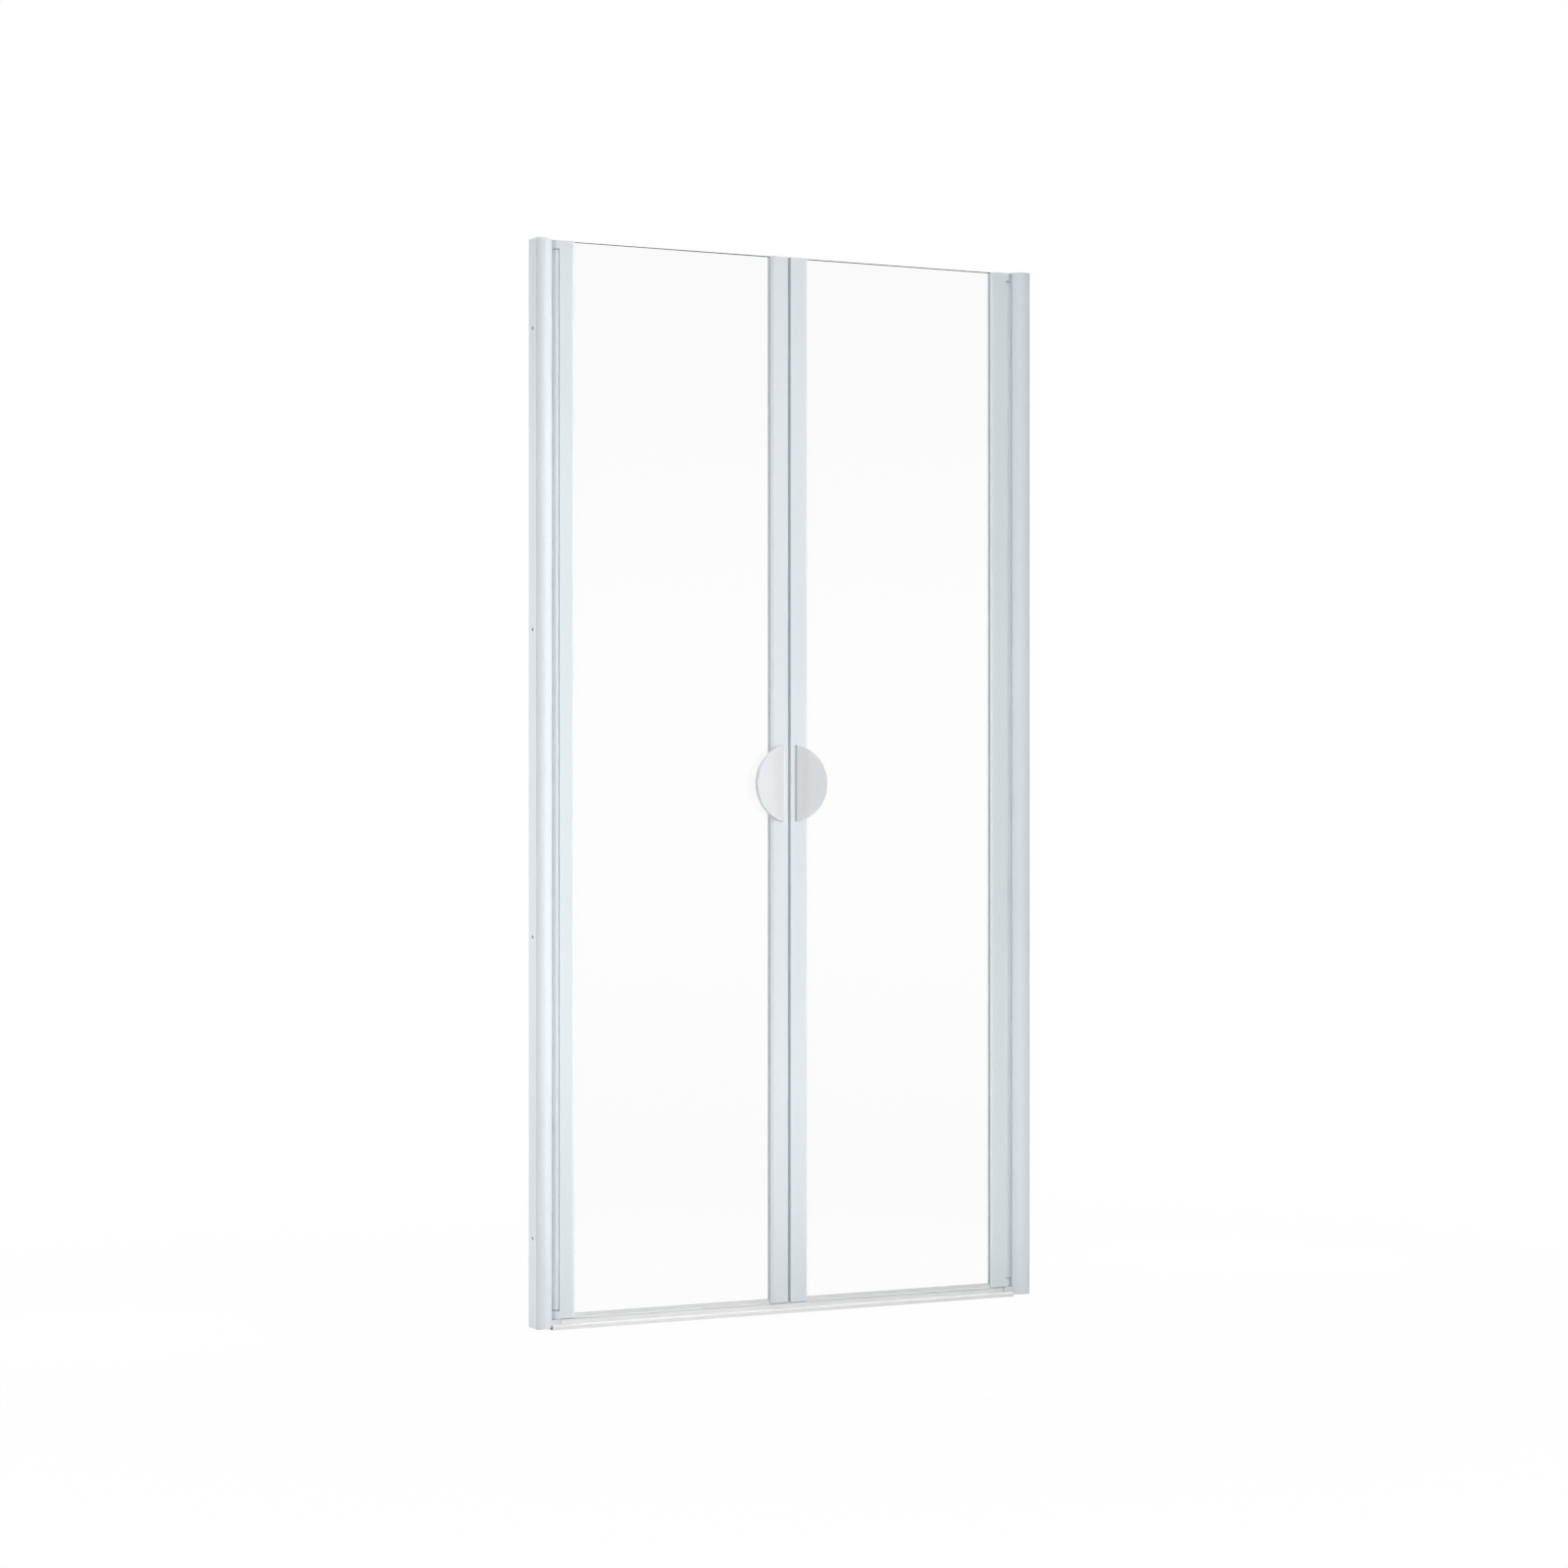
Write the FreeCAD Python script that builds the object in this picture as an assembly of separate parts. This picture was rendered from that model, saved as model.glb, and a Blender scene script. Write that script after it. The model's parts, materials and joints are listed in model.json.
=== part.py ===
"""Two-leaf pendulum shower door for a niche.

Fixed frame profiles with hinge barrels, two glass leaves that swing both ways, half-moon handles and a
low sill. Millimetres. The origin is on the floor at the middle of the opening, in the mid-plane of the
glass. X runs to the right, Y into the shower (the front faces -Y) and Z up. Each piece is drawn for the
right side and mirrored.
"""
import math
import os

import FreeCAD
import Part

os.makedirs("parts", exist_ok=True)
V = FreeCAD.Vector

# Opening and clearances
OPENING_WIDTH = 1000.0
DOOR_HEIGHT = 1920.0
SEAT_GAP = 0.02  # between pieces that are pressed together
FIT_GAP = 0.2  # between pieces that are slid together on assembly
RUNNING_GAP = 0.05  # between a pivot pin and its bush, on the radius
THRUST_GAP = 0.2  # between a hinge arm and what it turns on
SEAL_GAP = 0.4  # between each closing seal and the middle of the door
SWEEP_GAP = 1.5  # between the frame and a leaf that stands fully open

# Wall channels
CHANNEL_DEPTH = 35.8
CHANNEL_REACH = 20.0
CHANNEL_WALL = 1.8
WALL_HOLE_RADIUS = 3.0
OUTER_HOLE_SPACING = 1600.0
INNER_HOLE_SPACING = 540.0

# Frame profiles and their caps
FRAME_BOTTOM = 4.0
FRAME_WALL_GAP = 1.0  # joint filled with sealant
FRAME_WIDTH = 32.5  # from the wall to the inner face
FRAME_SKIN = 1.8
FRAME_CROWN = 1.8  # rise of the convex front above its edge at the wall
FRAME_SHOULDER = 23.0  # from the wall to the top of the inner slope
SHOULDER_DROP = 1.1  # of the top of the slope below the edge at the wall
SLOPE_ROUND = 0.8  # of the edge between the slope and the inner face
CAP_HEIGHT = 6.0
CAP_PLUG = 12.0
CAP_CHAMFER = 0.4  # of the cap's edges, which leaves a fine joint line above the profile
CLAMP_SPACING = 720.0
CLAMP_FROM_WALL = 11.0

# Hinge barrel, pins and bushes
NECK_THICKNESS = 2.5
NECK_GAP = 2.45  # between the neck and the edge of a leaf that stands fully open
BARREL_GAP = 0.4
BARREL_WALL = 2.9
PIN_RADIUS = 3.0
BUSH_WALL = 1.95
PLUG_LENGTH = 16.0
COLLAR_WALL = 4.3  # of the plug's collar round the pin
COLLAR_THICKNESS = 2.8
WASHER_THICKNESS = 1.2

# Leaf profiles
LEAF_DEPTH = 19.0
LEAF_SKIN = 1.5
EDGE_TAPER = 7.0  # width of the rounded border beside the glass
EDGE_DROP = 2.5  # of that border below the leaf's face
SOCKET_LIP = 0.7
SOCKET_BACK = 2.0
HINGE_PROFILE_WIDTH = 30.3
CLOSING_PROFILE_WIDTH = 34.6
CENTRE_GAP = 4.8
PLATE = 2.0
SPIGOT = 20.0
TOP_ARM_HEIGHT = 14.5
BOTTOM_ARM_HEIGHT = 13.3
LEAF_TOP_GAP = 1.5

# Glass and seals
GLASS_THICKNESS = 5.0
GLASS_INSERT = 14.0
GLASS_ARRIS = 1.3
GASKET_WALL = 1.5
GASKET_RECESS = 0.4
HINGE_SEAL_WIDTH = 2.4
HINGE_SEAL_SEAT = 1.2
HINGE_SEAL_CLEAR = 0.3
CLOSING_SEAL_DEPTH = 7.2
CLOSING_SEAL_FOOT = 9.2
CLOSING_SEAL_REACH = 8.4
SEAL_MOUTH = 1.6
MAGNET_DEPTH = 4.8
MAGNET_WIDTH = 2.4
MAGNET_COVER = 0.8
DRIP_CLIP_HEIGHT = 7.0
DRIP_CLIP_WALL = 1.2
DRIP_FIN_REACH = 4.2
DRIP_FIN_THICKNESS = 0.9
DRIP_CLEAR = 0.6  # between the fins and the sill's ridge

# Sill and hinge feet
SILL_DEPTH = 30.0
SILL_NOSE = 8.0
SILL_ROUND = 2.5
SILL_WALL = 1.6
RIDGE_HEIGHT = 9.0
RIDGE_DEPTH = 12.0
RIDGE_FLARE = 1.6
LEAF_ABOVE_RIDGE = 2.0
FOOT_DEPTH = 16.0
FOOT_REACH = 7.0  # past the pivot, under the leaf
FOOT_CORNER = 3.0

# Handles
HANDLE_RADIUS = 71.2
HANDLE_STRAIGHT = 13.4  # from the middle of the door to the straight edge
HANDLE_CREASE = 33.0  # from the middle of the door to the end of the ramp
HANDLE_BEND = 30.0  # radius where the ramp turns into the shell
HANDLE_ROOT = 4.0
HANDLE_CREASE_RISE = 9.6
HANDLE_RISE = 13.6
HANDLE_RIM = 9.0
HANDLE_SKIN = 3.0
HANDLE_ROUND = 1.2
HANDLE_SCREW_SPACING = 64.0
HANDLE_SCREW_BITE = 3.6

# Screws
SCREW_RADIUS = 1.7
HANDLE_SCREW_RADIUS = 1.95
SCREW_CLEAR = 0.1
HEAD_RADIUS = 3.4
HEAD_HEIGHT = 1.3

# Sizes that follow from the ones above
HALF_WIDTH = OPENING_WIDTH / 2
FRAME_TOP = DOOR_HEIGHT - CAP_HEIGHT
FRAME_MIDDLE = (FRAME_BOTTOM + DOOR_HEIGHT) / 2
LEAF_HALF = LEAF_DEPTH / 2
CHANNEL_HALF = CHANNEL_DEPTH / 2
HOLLOW_HALF = CHANNEL_HALF + FIT_GAP
FRAME_EDGE = HOLLOW_HALF + FRAME_SKIN
INNER_FACE = HALF_WIDTH - FRAME_WIDTH
AXIS_X = INNER_FACE - LEAF_HALF - SWEEP_GAP
SOCKET_RADIUS = LEAF_HALF - SOCKET_LIP
BARREL_RADIUS = SOCKET_RADIUS - BARREL_GAP
BARREL_BORE = BARREL_RADIUS - BARREL_WALL
LIP_X = AXIS_X - NECK_THICKNESS / 2 - NECK_GAP
BUSH_BORE = PIN_RADIUS + RUNNING_GAP
BUSH_RADIUS = BUSH_BORE + BUSH_WALL
COLLAR_RADIUS = PIN_RADIUS + COLLAR_WALL
HINGE_EDGE = LIP_X - HINGE_PROFILE_WIDTH
CLOSING_FACE = CENTRE_GAP / 2
CLOSING_EDGE = CLOSING_FACE + CLOSING_PROFILE_WIDTH
GLASS_HALF = GLASS_THICKNESS / 2
POCKET_HALF = GLASS_HALF + GASKET_WALL
GLASS_NEAR = CLOSING_EDGE - GLASS_INSERT
GLASS_FAR = HINGE_EDGE + GLASS_INSERT
CHAMBER_HALF = LEAF_HALF - LEAF_SKIN
HINGE_CHAMBER_FAR = AXIS_X - SOCKET_RADIUS - SOCKET_BACK
HINGE_CHAMBER_NEAR = GLASS_FAR + GASKET_WALL + LEAF_SKIN
CLOSING_SLOT_END = SEAL_GAP + CLOSING_SEAL_REACH + FIT_GAP
CLOSING_CHAMBER_NEAR = CLOSING_SLOT_END + LEAF_SKIN
CLOSING_CHAMBER_FAR = GLASS_NEAR - GASKET_WALL - LEAF_SKIN
SILL_TOP = SILL_NOSE + RIDGE_HEIGHT
LEAF_BOTTOM = SILL_TOP + LEAF_ABOVE_RIDGE
LEAF_TOP = DOOR_HEIGHT - LEAF_TOP_GAP
BOTTOM_ARM_TOP = LEAF_BOTTOM + BOTTOM_ARM_HEIGHT
TOP_ARM_BOTTOM = LEAF_TOP - TOP_ARM_HEIGHT
BARREL_BOTTOM = BOTTOM_ARM_TOP + THRUST_GAP + COLLAR_THICKNESS
BARREL_TOP = TOP_ARM_BOTTOM - THRUST_GAP - COLLAR_THICKNESS
WASHER_TOP = LEAF_BOTTOM - THRUST_GAP
FOOT_TOP = WASHER_TOP - WASHER_THICKNESS
FOOT_END = AXIS_X - FOOT_REACH
HANDLE_SCREW_X = (max(HANDLE_STRAIGHT, CLOSING_CHAMBER_NEAR) + CLOSING_CHAMBER_FAR) / 2
ARM_SCREW_X = (HINGE_CHAMBER_NEAR + HINGE_CHAMBER_FAR) / 2
FOOT_SCREW_Y = (PIN_RADIUS + FOOT_DEPTH / 2) / 2
FOOT_SCREW_HEAD = min(FOOT_DEPTH / 2 - FOOT_SCREW_Y, (FOOT_TOP - SILL_NOSE) / 2) - 2 * FIT_GAP


def closed_face(corners, place):
    """Face inside straight sides and arcs: a corner is (x, y, radius), and (x, y) alone bends its side."""
    points = [V(c[0], c[1], 0) for c in corners]
    count = len(corners)
    stops = []
    for i, corner in enumerate(corners):
        here = points[i]
        if len(corner) == 2 or corner[2] == 0:
            stops.append((here, None, here))
            continue
        back = (points[i - 1] - here).normalize()
        ahead = (points[(i + 1) % count] - here).normalize()
        half = back.getAngle(ahead) / 2
        inward = (back + ahead).normalize()
        reach = corner[2] / math.tan(half)
        nearest = here + inward * (corner[2] / math.sin(half) - corner[2])
        stops.append((here + back * reach, nearest, here + ahead * reach))
    edges = []
    for i, (start, bend, end) in enumerate(stops):
        if len(corners[i]) == 2:
            before = stops[i - 1][2]
            after = stops[(i + 1) % count][0]
            edges.append(Part.Arc(place(before), place(start), place(after)).toShape())
            continue
        if bend:
            edges.append(Part.Arc(place(start), place(bend), place(end)).toShape())
        following = (i + 1) % count
        if len(corners[following]) == 3 and (stops[following][0] - end).Length > 1e-6:
            edges.append(Part.makeLine(place(end), place(stops[following][0])))
    return Part.Face(Part.Wire(edges))


def upright(corners, low, high):
    """Prism of a plan section between two heights."""
    return closed_face(corners, lambda p: V(p.x, p.y, low)).extrude(V(0, 0, high - low))


def lengthwise(corners, start, end):
    """Prism of a section in Y and Z, run along X."""
    return closed_face(corners, lambda p: V(start, p.x, p.y)).extrude(V(end - start, 0, 0))


def block(x0, x1, half_depth, low, high):
    """Box centred on the glass plane."""
    return Part.makeBox(x1 - x0, 2 * half_depth, high - low, V(x0, -half_depth, low))


def rod(radius, low, high, x=AXIS_X):
    """Upright cylinder in the glass plane."""
    return Part.makeCylinder(radius, high - low, V(x, 0, low))


def ring(outer, inner, low, high):
    """Upright tube on the pivot axis."""
    return rod(outer, low, high).cut(rod(inner, low, high))


def cross_rod(radius, x, z, y0, y1):
    """Cylinder along Y."""
    return Part.makeCylinder(radius, y1 - y0, V(x, y0, z), V(0, 1, 0))


def side_rod(radius, y, z, x0, x1):
    """Cylinder along X."""
    return Part.makeCylinder(radius, x1 - x0, V(x0, y, z), V(1, 0, 0))


def spaced(spacing, count, middle):
    """Heights of a row of evenly spaced fasteners."""
    return [middle + spacing * (i - (count - 1) / 2) for i in range(count)]


CLAMP_HEIGHTS = spaced(CLAMP_SPACING, 3, FRAME_MIDDLE)
WALL_HOLE_HEIGHTS = spaced(OUTER_HOLE_SPACING, 2, FRAME_MIDDLE)
WALL_HOLE_HEIGHTS += spaced(INNER_HOLE_SPACING, 2, FRAME_MIDDLE)
HANDLE_SCREW_HEIGHTS = spaced(HANDLE_SCREW_SPACING, 2, FRAME_MIDDLE)
ARM_SCREW_HEIGHTS = [LEAF_BOTTOM + PLATE + SPIGOT / 2, LEAF_TOP - PLATE - SPIGOT / 2]
CLAMP_X = HALF_WIDTH - CLAMP_FROM_WALL
CLAMP_SEAT = FRAME_EDGE - HEAD_HEIGHT / 4


def wall_channel():
    """U-shaped aluminium channel that is screwed to the wall."""
    wall = HALF_WIDTH
    inner = CHANNEL_HALF - CHANNEL_WALL
    shape = block(wall - CHANNEL_REACH, wall, CHANNEL_HALF, FRAME_BOTTOM, FRAME_TOP)
    shape = shape.cut(block(wall - CHANNEL_REACH, wall - CHANNEL_WALL, inner, FRAME_BOTTOM, FRAME_TOP))
    for z in WALL_HOLE_HEIGHTS:
        shape = shape.cut(side_rod(WALL_HOLE_RADIUS, 0, z, wall - CHANNEL_WALL, wall))
    for z in CLAMP_HEIGHTS:
        shape = shape.cut(cross_rod(SCREW_RADIUS + SEAT_GAP, CLAMP_X, z, inner, CHANNEL_HALF))
    return shape


def frame_outline():
    """Corners of the frame profile's outside, from the wall at the front to the wall at the back."""
    wall = HALF_WIDTH - FRAME_WALL_GAP
    shoulder = HALF_WIDTH - FRAME_SHOULDER
    crown = ((wall + shoulder) / 2, FRAME_EDGE + FRAME_CROWN)
    drop = FRAME_EDGE - SHOULDER_DROP
    front = [(wall, -FRAME_EDGE, 0), (crown[0], -crown[1])]
    front += [(shoulder, -drop, 0), (INNER_FACE, -LEAF_HALF, SLOPE_ROUND)]
    back = [(INNER_FACE, LEAF_HALF, SLOPE_ROUND), (shoulder, drop, 0), crown, (wall, FRAME_EDGE, 0)]
    return front + back


def frame_profile():
    """Convex frame profile over the wall channel, with the neck and the hinge barrel on its inner face."""
    wall = HALF_WIDTH - FRAME_WALL_GAP
    web = INNER_FACE + FRAME_SKIN
    slope = (HALF_WIDTH - FRAME_SHOULDER) + FRAME_SKIN
    throat = LEAF_HALF - FRAME_SKIN / 2
    hollow = [(wall, HOLLOW_HALF, 0), (slope, HOLLOW_HALF, 0), (web, throat, 0)]
    hollow += [(web, -throat, 0), (slope, -HOLLOW_HALF, 0), (wall, -HOLLOW_HALF, 0)]
    shape = upright(frame_outline() + hollow, FRAME_BOTTOM, FRAME_TOP)
    neck = block(AXIS_X, web, NECK_THICKNESS / 2, BARREL_BOTTOM, BARREL_TOP)
    barrel = rod(BARREL_RADIUS, BARREL_BOTTOM, BARREL_TOP)
    shape = shape.fuse([neck, barrel]).removeSplitter()
    shape = shape.cut(rod(BARREL_BORE, BARREL_BOTTOM, BARREL_TOP))
    for z in CLAMP_HEIGHTS:
        shape = shape.cut(cross_rod(SCREW_RADIUS + SCREW_CLEAR, CLAMP_X, z, HOLLOW_HALF, FRAME_EDGE))
        seat_end = FRAME_EDGE + FRAME_CROWN + HEAD_HEIGHT
        shape = shape.cut(cross_rod(HEAD_RADIUS + FIT_GAP, CLAMP_X, z, CLAMP_SEAT, seat_end))
    for y in (-FOOT_SCREW_Y, FOOT_SCREW_Y):
        hole = side_rod(SCREW_RADIUS + SEAT_GAP, y, (SILL_NOSE + FOOT_TOP) / 2, INNER_FACE, web)
        shape = shape.cut(hole)
    return shape


def frame_cap():
    """Cap that closes the frame profile's top, with a plug inside the wall channel."""
    lid = upright(frame_outline(), FRAME_TOP, DOOR_HEIGHT)
    rims = [edge for edge in lid.Edges if edge.BoundBox.ZLength < CAP_CHAMFER]
    shape = lid.makeChamfer(CAP_CHAMFER, rims)
    plug_half = CHANNEL_HALF - CHANNEL_WALL - FIT_GAP
    plug_end = HALF_WIDTH - CHANNEL_WALL - FIT_GAP
    plug = block(HALF_WIDTH - CHANNEL_REACH, plug_end, plug_half, FRAME_TOP - CAP_PLUG, FRAME_TOP)
    plug_hollow = block(
        HALF_WIDTH - CHANNEL_REACH + CHANNEL_WALL,
        plug_end - CHANNEL_WALL,
        plug_half - CHANNEL_WALL,
        FRAME_TOP - CAP_PLUG,
        FRAME_TOP,
    )
    return shape.fuse(plug.cut(plug_hollow)).removeSplitter()


def clamp_screws():
    """Screws that hold the frame profile on the wall channel, set from inside the shower."""
    screws = []
    for z in CLAMP_HEIGHTS:
        shank = cross_rod(SCREW_RADIUS, CLAMP_X, z, CHANNEL_HALF - 2 * CHANNEL_WALL, CLAMP_SEAT)
        head = cross_rod(HEAD_RADIUS, CLAMP_X, z, CLAMP_SEAT, CLAMP_SEAT + HEAD_HEIGHT)
        screws.append(shank.fuse(head).removeSplitter())
    return Part.makeCompound(screws)


def barrel_plugs():
    """Collared plugs that hold the pivot pins in the two ends of the barrel."""
    radius = BARREL_BORE - SEAT_GAP
    bore = PIN_RADIUS + SEAT_GAP
    low = rod(radius, BARREL_BOTTOM, BARREL_BOTTOM + PLUG_LENGTH)
    low = low.fuse(rod(COLLAR_RADIUS, BARREL_BOTTOM - COLLAR_THICKNESS, BARREL_BOTTOM)).removeSplitter()
    high = rod(radius, BARREL_TOP - PLUG_LENGTH, BARREL_TOP)
    high = high.fuse(rod(COLLAR_RADIUS, BARREL_TOP, BARREL_TOP + COLLAR_THICKNESS)).removeSplitter()
    hole = rod(bore, 0, DOOR_HEIGHT)
    return Part.makeCompound([low.cut(hole), high.cut(hole)])


def bottom_pivot_pin():
    """Pin from the hinge foot through the bottom arm into the barrel."""
    return rod(PIN_RADIUS, SILL_NOSE, BARREL_BOTTOM + PLUG_LENGTH)


def top_pivot_pin():
    """Pin from the barrel into the top arm."""
    return rod(PIN_RADIUS, BARREL_TOP - PLUG_LENGTH, LEAF_TOP - 2 * PLATE)


def hinge_foot():
    """Bearing block on the sill that carries the leaf's weight."""
    half = FOOT_DEPTH / 2
    wall_side = INNER_FACE - SEAT_GAP
    corners = [(wall_side, -half, 0), (wall_side, half, 0)]
    corners += [(FOOT_END, half, FOOT_CORNER), (FOOT_END, -half, FOOT_CORNER)]
    shape = upright(corners, SILL_NOSE, FOOT_TOP)
    shape = shape.cut(rod(PIN_RADIUS + SEAT_GAP, SILL_NOSE, FOOT_TOP))
    middle = (SILL_NOSE + FOOT_TOP) / 2
    for y in (-FOOT_SCREW_Y, FOOT_SCREW_Y):
        shape = shape.cut(side_rod(SCREW_RADIUS + SCREW_CLEAR, y, middle, FOOT_END, wall_side))
        seat = FOOT_END + HEAD_HEIGHT + FIT_GAP
        shape = shape.cut(side_rod(FOOT_SCREW_HEAD + FIT_GAP, y, middle, FOOT_END, seat))
    return shape


def foot_screws():
    """Screws that hold the hinge foot on the frame profile."""
    middle = (SILL_NOSE + FOOT_TOP) / 2
    seat = FOOT_END + HEAD_HEIGHT + FIT_GAP
    screws = []
    for y in (-FOOT_SCREW_Y, FOOT_SCREW_Y):
        shank = side_rod(SCREW_RADIUS, y, middle, seat, INNER_FACE + 2 * FRAME_SKIN)
        head = side_rod(FOOT_SCREW_HEAD, y, middle, seat - HEAD_HEIGHT, seat)
        screws.append(shank.fuse(head).removeSplitter())
    return Part.makeCompound(screws)


def thrust_washer():
    """Plain washer between the hinge foot and the bottom arm."""
    return ring(COLLAR_RADIUS, PIN_RADIUS + RUNNING_GAP, FOOT_TOP, WASHER_TOP)


def sill():
    """Hollow threshold: a low rounded nose on each side of a ridge, which is milled off under the feet."""
    half = SILL_DEPTH / 2
    foot = RIDGE_DEPTH / 2 + RIDGE_FLARE
    crest = RIDGE_DEPTH / 2
    rise = [(-half, 0, 0), (-half, SILL_NOSE, SILL_ROUND)]
    rise += [(-foot, SILL_NOSE, 0), (-crest, SILL_TOP, RIDGE_FLARE)]
    fall = [(-y, z, radius) for y, z, radius in reversed(rise)]
    end = INNER_FACE - FIT_GAP
    shape = lengthwise(rise + fall, -end, end)
    roof = SILL_TOP - SILL_WALL
    inner_crest = crest - SILL_WALL
    ridge_hollow = [(-crest, SILL_WALL, 0), (-inner_crest, roof, 0)]
    ridge_hollow += [(inner_crest, roof, 0), (crest, SILL_WALL, 0)]
    shape = shape.cut(lengthwise(ridge_hollow, -end, end))
    for side in (-1, 1):
        outer = side * (half - SILL_WALL)
        inner = side * (crest + SILL_WALL)
        ceiling = SILL_NOSE - SILL_WALL
        nose_hollow = [(inner, SILL_WALL, 0), (outer, SILL_WALL, 0)]
        nose_hollow += [(outer, ceiling, SILL_ROUND / 2), (inner, ceiling, 0)]
        shape = shape.cut(lengthwise(nose_hollow, -end, end))
        cut_start = min(side * (FOOT_END - FIT_GAP), side * end)
        shape = shape.cut(
            Part.makeBox(end - FOOT_END + FIT_GAP, SILL_DEPTH, RIDGE_HEIGHT, V(cut_start, -half, SILL_NOSE))
        )
    return shape


def glass_slot(x0, x1):
    """Room for the pane and its gasket through an end plate."""
    return block(x0, x1, POCKET_HALF + FIT_GAP / 4, LEAF_BOTTOM, LEAF_TOP)


def edge_chambers(x0, x1):
    """The two hollow chambers beside a glass pocket."""
    low = POCKET_HALF + LEAF_SKIN
    bottom = LEAF_BOTTOM
    front = Part.makeBox(x1 - x0, CHAMBER_HALF - low, LEAF_TOP - bottom, V(x0, -CHAMBER_HALF, bottom))
    back = Part.makeBox(x1 - x0, CHAMBER_HALF - low, LEAF_TOP - bottom, V(x0, low, bottom))
    return [front, back]


def glass_side(edge, inward):
    """Corners of a leaf profile beside the glass: the faces round off to a lower edge."""
    low_edge = LEAF_HALF - EDGE_DROP
    radius = (EDGE_TAPER**2 + EDGE_DROP**2) / (2 * EDGE_DROP)
    turn = math.asin(EDGE_TAPER / radius) / 2
    flat_end = edge + inward * EDGE_TAPER
    bend_x = flat_end - inward * radius * math.sin(turn)
    bend_y = LEAF_HALF - radius * (1 - math.cos(turn))
    back = [(flat_end, LEAF_HALF, 0), (bend_x, bend_y), (edge, low_edge, 0)]
    return back + [(edge, -low_edge, 0), (bend_x, -bend_y), (flat_end, -LEAF_HALF, 0)]


def hinge_profile():
    """Leaf profile that wraps the fixed barrel and holds the pane's outer edge."""
    low = LEAF_BOTTOM + PLATE
    high = LEAF_TOP - PLATE
    half = LEAF_HALF
    shape = upright([(LIP_X, -half, 0), (LIP_X, half, 0)] + glass_side(HINGE_EDGE, 1), low, high)
    cuts = [rod(SOCKET_RADIUS, low, high)]
    cuts.append(block(HINGE_CHAMBER_NEAR, HINGE_CHAMBER_FAR, CHAMBER_HALF, low, high))
    cuts.append(block(HINGE_EDGE, GLASS_FAR + GASKET_WALL, POCKET_HALF, low, high))
    cuts += edge_chambers(HINGE_EDGE + EDGE_TAPER - LEAF_SKIN, GLASS_FAR + GASKET_WALL)
    groove_end = AXIS_X - SOCKET_RADIUS - HINGE_SEAL_SEAT
    cuts.append(block(groove_end, AXIS_X, HINGE_SEAL_WIDTH / 2, low, high))
    for z in ARM_SCREW_HEIGHTS:
        cuts.append(cross_rod(SCREW_RADIUS + SCREW_CLEAR, ARM_SCREW_X, z, CHAMBER_HALF, LEAF_HALF))
    return shape.cut(cuts)


def hinge_seal():
    """Soft strip in the socket's groove that closes the gap to the barrel."""
    start = AXIS_X - SOCKET_RADIUS - HINGE_SEAL_SEAT
    end = AXIS_X - BARREL_RADIUS - HINGE_SEAL_CLEAR
    return block(start, end, HINGE_SEAL_WIDTH / 2 - SEAT_GAP, BARREL_BOTTOM, BARREL_TOP)


def arm_plate(low, high):
    """End plate of the hinge profile, rounded about the pivot."""
    half = LEAF_HALF
    tip = AXIS_X + half
    corners = [(AXIS_X, half, 0)] + glass_side(HINGE_EDGE, 1) + [(AXIS_X, -half, 0), (tip, 0)]
    plate = upright(corners, low, high)
    return plate.cut(glass_slot(HINGE_EDGE, GLASS_FAR + GASKET_WALL + FIT_GAP))


def arm_knuckle(low, high):
    """Knuckle that reaches over the barrel's end and fills the socket behind it."""
    half = LEAF_HALF
    lip = LIP_X + SEAT_GAP
    tip = AXIS_X + half
    corners = [(AXIS_X, half, 0), (lip, half, 0), (lip, -half, 0), (AXIS_X, -half, 0), (tip, 0)]
    return upright(corners, low, high).fuse(rod(SOCKET_RADIUS - SEAT_GAP, low, high))


def arm_spigot(low, high):
    """Tongue that plugs the arm into the hinge profile's chamber."""
    x0 = HINGE_CHAMBER_NEAR + FIT_GAP
    x1 = HINGE_CHAMBER_FAR - FIT_GAP
    spigot = block(x0, x1, CHAMBER_HALF - FIT_GAP, low, high)
    for z in ARM_SCREW_HEIGHTS:
        spigot = spigot.cut(cross_rod(SCREW_RADIUS + SEAT_GAP, ARM_SCREW_X, z, 0, LEAF_HALF))
    return spigot


def top_hinge_arm():
    """Arm at the leaf's top, with a blind hole for its bush."""
    under_plate = LEAF_TOP - PLATE
    knuckle = arm_knuckle(TOP_ARM_BOTTOM, under_plate)
    spigot = arm_spigot(under_plate - SPIGOT, under_plate)
    shape = arm_plate(under_plate, LEAF_TOP).fuse([knuckle, spigot]).removeSplitter()
    return shape.cut(rod(BUSH_RADIUS + SEAT_GAP, TOP_ARM_BOTTOM, LEAF_TOP - PLATE))


def bottom_hinge_arm():
    """Arm at the leaf's bottom, with a through hole for its bush."""
    over_plate = LEAF_BOTTOM + PLATE
    knuckle = arm_knuckle(over_plate, BOTTOM_ARM_TOP)
    spigot = arm_spigot(over_plate, over_plate + SPIGOT)
    shape = arm_plate(LEAF_BOTTOM, over_plate).fuse([knuckle, spigot]).removeSplitter()
    return shape.cut(rod(BUSH_RADIUS + SEAT_GAP, LEAF_BOTTOM, BOTTOM_ARM_TOP))


def arm_bushes():
    """Plain bushes in the two arms, running on the pivot pins."""
    low = ring(BUSH_RADIUS, BUSH_BORE, LEAF_BOTTOM, BOTTOM_ARM_TOP)
    high = ring(BUSH_RADIUS, BUSH_BORE, TOP_ARM_BOTTOM, LEAF_TOP - PLATE)
    return Part.makeCompound([low, high])


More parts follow.
